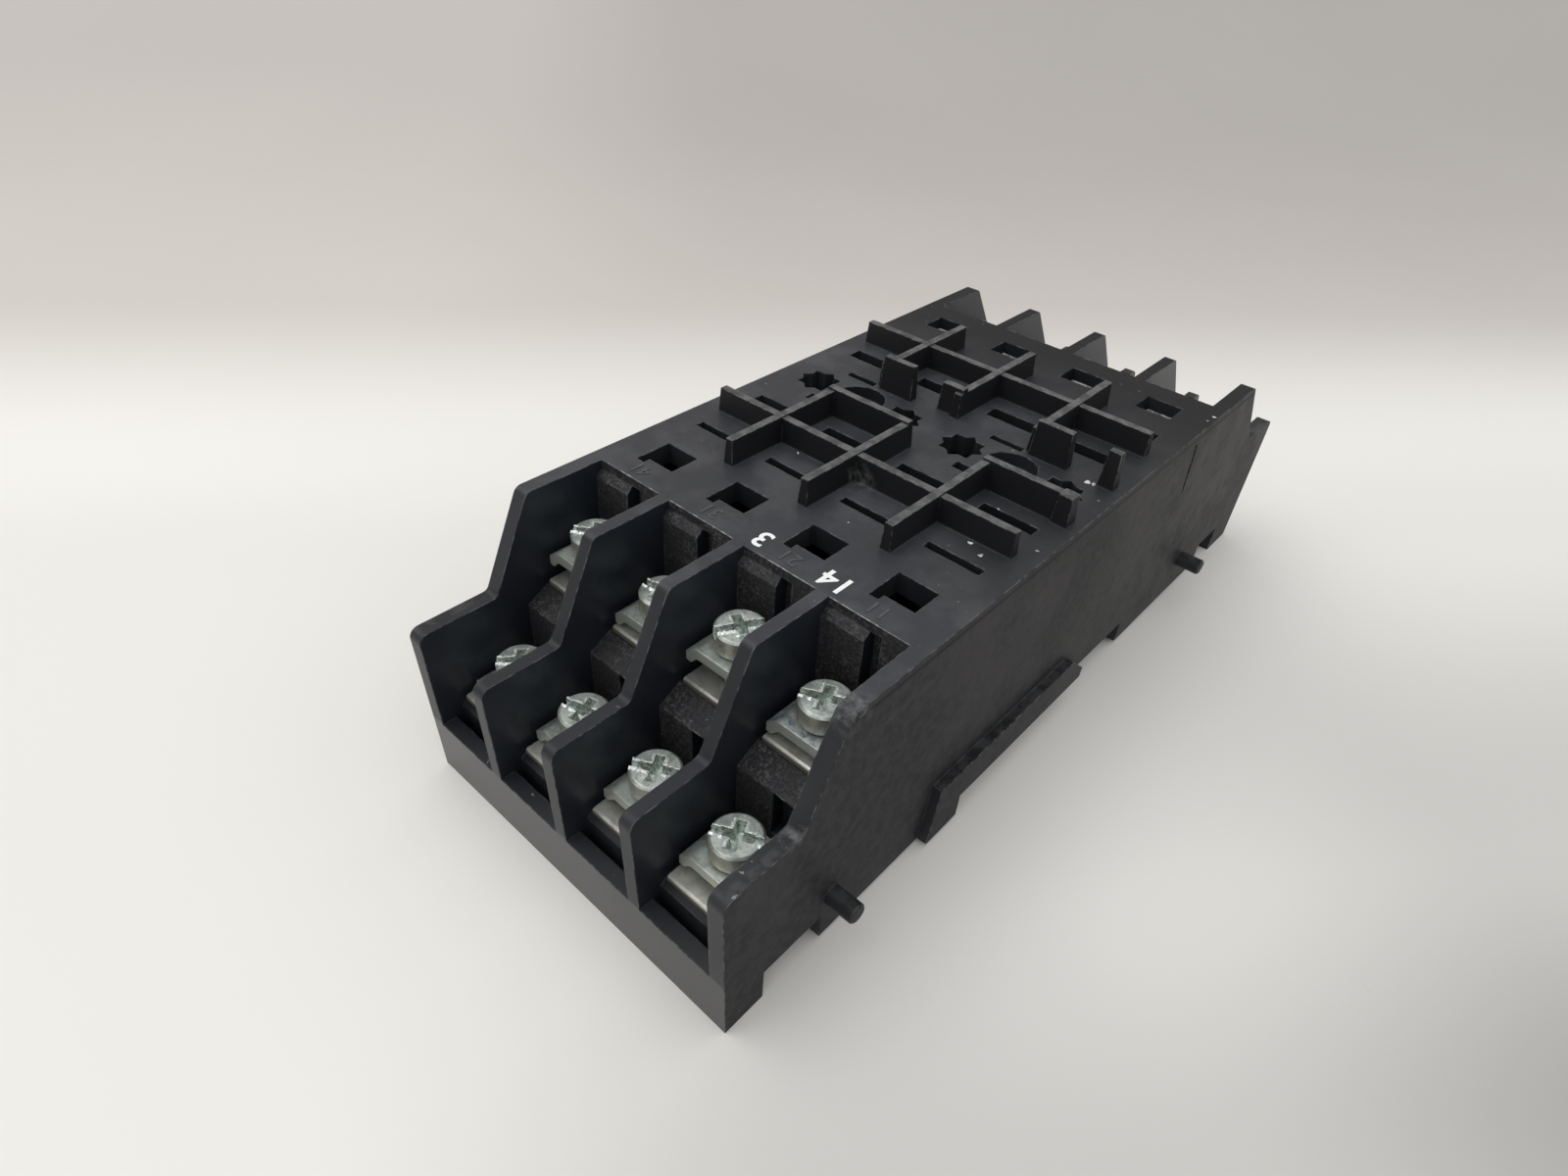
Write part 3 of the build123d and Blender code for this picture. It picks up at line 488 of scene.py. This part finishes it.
ink = print_ink()
moulded_mark = moulded(
    "mark", (0.055, 0.056, 0.060, 1), (0.085, 0.086, 0.090, 1), (0.30, 0.30, 0.29, 1), 0.38, 0.2, 0.1,
)
PRINT_SIZE, MARK_SIZE = 3.5, 2.5
for name, text, x in (("print_3", "3", 1.25), ("print_14", "14", 10.6)):
    lettering(name, text, x, -30.8, PRINT_SIZE, ink, 0.02, 0.06)
for column, number in enumerate(("41", "31", "21", "11")):
    middle = FIRST_COLUMN + column * PITCH
    lettering(f"mark_{column + 1}", number, middle - 0.2, -31.2, MARK_SIZE, moulded_mark, 0.08, 0.01)


# Burrs, mould flash, flecks and a hairline: small ragged pieces
def ridge(shape, start, end, up, out, rng, chance, width, height, step):
    """A ragged ridge from start to end, in mm: it stands along up and spreads along out, in runs."""
    start, end, up, out = Vector(start), Vector(end), Vector(up), Vector(out)
    low_spread, low_rise, foot_depth, tail_depth = 0.02, 0.012, 0.03, 0.01
    count = max(2, round((end - start).length / step))
    rows = []
    run, grown = 0, False
    for index in range(count + 1):
        at = start.lerp(end, index / count)
        if run == 0:
            run, grown = rng.randint(2, 5), rng.random() < chance
        run -= 1
        spread = width * rng.uniform(0.5, 1.0) if grown else low_spread
        rise = height * rng.uniform(0.4, 1.0) if grown else low_rise
        foot = at - out * foot_depth
        top = at + up * rise + out * spread * 0.25
        tail = at + out * spread - up * tail_depth
        rows.append([shape.verts.new(point * MM) for point in (foot, top, tail)])
    for a, b in zip(rows, rows[1:]):
        shape.faces.new((a[0], b[0], b[1], a[1]))
        shape.faces.new((a[1], b[1], b[2], a[2]))


def keep(name, shape, finish, rider):
    """Turn a built shape into a visual piece that rides on a body."""
    mesh = bpy.data.meshes.new(name)
    bmesh.ops.recalc_face_normals(shape, faces=shape.faces)
    shape.to_mesh(mesh)
    shape.free()
    piece = bpy.data.objects.new(name, mesh)
    bpy.context.collection.objects.link(piece)
    mesh.materials.append(finish)
    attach(piece, rider)


def screw_burrs(name, turn, finish, seed):
    """Burrs along the slot and the cross recess of one screw head."""
    low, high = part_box(name)
    centre = Vector(((low[0] + high[0]) / 2, (low[1] + high[1]) / 2, high[2])) / MM
    rng = random.Random(seed)
    shape = bmesh.new()
    turned = Matrix.Rotation(math.radians(turn), 3, "Z")
    half_slot, half_arm = 0.425, 0.525  # half the widths of the slot and of the recess
    reach, rim = 1.65, 2.45  # how far the recess and the slot go from the middle
    for quarter in range(4):
        spin = turned @ Matrix.Rotation(math.radians(90 * quarter), 3, "Z")
        along_slot = quarter % 2 == 0
        for hand in (-1, 1):
            out = spin @ Vector((0, hand, 0))
            edges = [(half_arm, reach, half_arm)] + ([(reach, rim, half_slot)] if along_slot else [])
            for near_end, far_end, across in edges:
                first = centre + spin @ Vector((near_end, hand * across, 0))
                last = centre + spin @ Vector((far_end, hand * across, 0))
                ridge(shape, first, last, (0, 0, 1), out, rng, chance=0.60, width=0.40, height=0.24, step=0.11)
    keep(name.replace("screw", "burr"), shape, finish, name)


def all_burrs():
    """Burrs for every screw, turned as the CAD turns the heads."""
    finish = burr_metal_painted_glint()
    upper_turns = (35, 12, 62, 24)
    lower_turns = (48, 15, 30, 26)
    kinds = {
        "near_upper": upper_turns, "near_lower": lower_turns, "far_upper": lower_turns, "far_lower": upper_turns,
    }
    for kind, turns in kinds.items():
        for column, turn in enumerate(turns):
            screw = f"screw_{kind}_{column + 1}"
            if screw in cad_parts:
                screw_burrs(screw, turn, finish, column + 10 * len(kind))


def mould_flash():
    """Ragged flash along both ends of the deck, one length in each column."""
    rng = random.Random(7)
    shape = bmesh.new()
    half, level = 4.5, DECK - 0.02
    ends = ((DECK_NEAR, 1, 0.7, 0.16, 0.06), (DECK_FAR, -1, 0.5, 0.14, 0.05))
    for column in range(4):
        middle = FIRST_COLUMN + column * PITCH
        for y, inwards, chance, width, height in ends:
            first, last = (middle - half, y, level), (middle + half, y, level)
            ridge(shape, first, last, (0, 0, 1), (0, inwards, 0), rng, chance, width, height, step=0.25)
    keep("mould_flash", shape, pale_flash(), "base")


def flecks():
    """Flecks of pale dust on the deck, where the photograph shows them."""
    rng = random.Random(3)
    shape = bmesh.new()
    foot = DECK + 0.002
    spots = (  # x, y, radius and stretch
        (15.78, -16.47, 0.30, 0.9), (17.70, -17.47, 0.26, 1.3), (21.11, -12.72, 0.20, 1.0), (18.41, 2.61, 0.34, 1.2),
        (-7.26, -16.29, 0.20, 1.0), (3.58, -14.81, 0.16, 1.0), (-13.4, 22.8, 0.22, 1.0), (5.2, -22.6, 0.12, 1.0),
        (14.4, -9.2, 0.16, 1.4), (-2.1, 10.2, 0.14, 1.0), (10.6, 11.3, 0.16, 1.0), (-16.5, -12.5, 0.13, 1.2),
        (19.06, 2.73, 0.24, 1.6), (21.05, 0.09, 0.12, 1.0), (22.0, 28.2, 0.22, 1.5), (21.8, 26.6, 0.15, 1.2),
    )
    for x, y, radius, stretch in spots:
        count = rng.randint(6, 8)
        lean = rng.uniform(0, math.pi)
        rim = []
        for index in range(count):
            angle = 2 * math.pi * index / count
            reach = radius * rng.uniform(0.35, 1.25)
            point = Vector((reach * stretch * math.cos(angle), reach * math.sin(angle), 0))
            point = Matrix.Rotation(lean, 3, "Z") @ point
            rim.append(shape.verts.new((Vector((x, y, foot)) + point) * MM))
        top = shape.verts.new(Vector((x, y, foot + radius * 0.35)) * MM)
        for a, b in zip(rim, rim[1:] + rim[:1]):
            shape.faces.new((a, b, top))
    keep("dust_flecks", shape, pale_dust(), "base")


def hairline():
    """The thin dark mark down the right wall."""
    rng = random.Random(5)
    shape = bmesh.new()
    places = ((23.4, 29.6), (23.9, 27.1), (24.2, 24.8), (24.6, 22.3), (21.2, 21.5))  # y and z
    for first, last in zip(places, places[1:]):
        ridge(
            shape, (SIDE, *first), (SIDE, *last), (1, 0, 0), (0, -1, 0), rng,
            chance=0.95, width=0.75, height=0.02, step=0.3,
        )
    keep("hairline", shape, dark_mark(), "base")


all_burrs()
mould_flash()
flecks()
hairline()

# The sheet of paper, in metres along its own X
SHEET_NEAR, SHEET_HALF = -1.5, 2.0
BEND_START, BEND_RADIUS = 0.20, 0.4
BEND_STEPS, BEND_STEP = 12, 5  # the second in degrees
SHEET_RUN, SHEET_RISE = 0.7, 1.2  # the straight part after the bend
SHEET_TURN = 138.5  # degrees: away from the camera


def stage_material():
    """Pale paper, warmer beyond its bend, with painted shade beyond the bend and at the lower right of the camera's
    view, in metres along the sheet.
    """
    tree = Tree("paper")
    back, left, _ = tree.place()
    across = tree.math("MULTIPLY", left, -1.0)
    framed = tree.ramp(back, -0.18, -0.10)  # leaves the part behind the camera plain
    beside = tree.ramp(tree.size(across), 0.90, 0.35, 0.45, 1.0)
    right = tree.both(tree.ramp(across, 0.010, 0.060), tree.ramp(across, 0.34, 0.18))
    # Painted shade on the paper: beyond the bend, at the lower right and close to the object
    painted_shading = (
        tree.both(tree.ramp(back, 0.050, 0.115, 0.0, 0.23), beside),
        tree.ramp(back, 0.110, 0.300, 0.0, 0.07),
        tree.both(right, tree.ramp(back, 0.018, -0.035), framed, 0.21),
        tree.both(tree.ramp(across, -0.065, -0.020), tree.ramp(back, -0.040, -0.070), framed, 0.22),
        tree.both(tree.ramp(across, -0.100, 0.000), tree.ramp(back, 0.060, 0.160), 0.09),
    )
    tone = tree.ramp(back, 0.020, 0.046, 0.81, 0.86)
    for loss in painted_shading:
        tone = tree.math("SUBTRACT", tone, loss)
    tone = tree.math("MULTIPLY_ADD", tree.noise(9, 3.0, 0.5), 0.05, tree.math("SUBTRACT", tone, 0.025))
    tint = tree.mix(tree.ramp(back, 0.050, 0.120), (1.0, 0.965, 0.906, 1), (1.0, 0.925, 0.852, 1))
    scale = tree.nodes.new("ShaderNodeVectorMath")
    scale.operation = "SCALE"
    tree.link(tint, scale.inputs[0])
    tree.link(tone, scale.inputs["Scale"])
    scratch = tree.ramp(tree.noise(1.0, 4.0, 0.7, tree.stretched((60, 160, 60))), 0.70, 0.76)
    marks = tree.both(scratch, tree.ramp(across, 0.02, 0.06), tree.ramp(back, 0.03, 0.0), 0.35)
    colour = tree.mix(marks, scale.outputs["Vector"], (0.35, 0.34, 0.32, 1))
    return tree.dress(colour, 0.6, tree.bump(tree.noise(900), 0.05, 0.1))


def build_stage():
    """The sheet is built along its own X, away from the camera, and turned to face it."""
    profile = [(SHEET_NEAR, 0.0), (BEND_START, 0.0)]
    for step in range(1, BEND_STEPS + 1):
        angle = math.radians(step * BEND_STEP)
        profile.append((BEND_START + BEND_RADIUS * math.sin(angle), BEND_RADIUS * (1 - math.cos(angle))))
    profile.append((profile[-1][0] + SHEET_RUN, profile[-1][1] + SHEET_RISE))
    mesh = bpy.data.meshes.new("floor")
    shape = bmesh.new()
    rows = [
        [shape.verts.new((back, across, height)) for across in (SHEET_HALF, -SHEET_HALF)]
        for back, height in profile
    ]
    for lower, upper in zip(rows, rows[1:]):
        face = shape.faces.new((lower[0], lower[1], upper[1], upper[0]))
        face.smooth = True
    shape.normal_update()
    shape.to_mesh(mesh)
    shape.free()
    floor = bpy.data.objects.new("floor", mesh)
    floor.rotation_euler = (0, 0, math.radians(SHEET_TURN))
    bpy.context.collection.objects.link(floor)
    floor.data.materials.append(stage_material())


build_stage()


# Light: a pale room, brighter overhead, and a soft lamp over the near left
def lamp(name, place, target, size, power, colour):
    data = bpy.data.lights.new(name, "AREA")
    data.shape = "RECTANGLE"
    data.size, data.size_y = size
    data.energy = power
    data.color = colour
    light = bpy.data.objects.new(name, data)
    bpy.context.collection.objects.link(light)
    light.location = place
    light.rotation_euler = (Vector(target) - Vector(place)).to_track_quat("-Z", "Y").to_euler()


def room(horizon, overhead, colour):
    """A world whose strength grows smoothly from the horizon to overhead."""
    world = bpy.data.worlds.new("room")
    bpy.context.scene.world = world
    world.use_nodes = True
    nodes, links = world.node_tree.nodes, world.node_tree.links
    split = nodes.new("ShaderNodeSeparateXYZ")
    links.new(nodes.new("ShaderNodeTexCoord").outputs["Generated"], split.inputs["Vector"])
    level = nodes.new("ShaderNodeMapRange")
    level.interpolation_type = "SMOOTHSTEP"
    level.inputs["From Min"].default_value = 0.0
    level.inputs["From Max"].default_value = 0.9
    level.inputs["To Min"].default_value = horizon
    level.inputs["To Max"].default_value = overhead
    links.new(split.outputs["Z"], level.inputs["Value"])
    links.new(level.outputs["Result"], nodes["Background"].inputs["Strength"])
    nodes["Background"].inputs["Color"].default_value = colour


room(0.34, 1.15, (0.95, 0.975, 1.0, 1))
lamp("key", (-0.20, -0.24, 0.52), (0, 0, 0), (0.40, 0.40), 0.85, (1.0, 0.985, 0.96))

# Camera, solved from the photograph
view = bpy.data.cameras.new("camera")
view.sensor_width = 36
view.lens = 21.84
view.clip_start = 0.005
camera = bpy.data.objects.new("camera", view)
bpy.context.collection.objects.link(camera)
camera.location = (0.05131, -0.08672, 0.08569)
camera.rotation_euler = [math.radians(angle) for angle in (51.1082, -3.0163, 42.4918)]
bpy.context.scene.camera = camera
bpy.context.scene.view_settings.view_transform = "Standard"
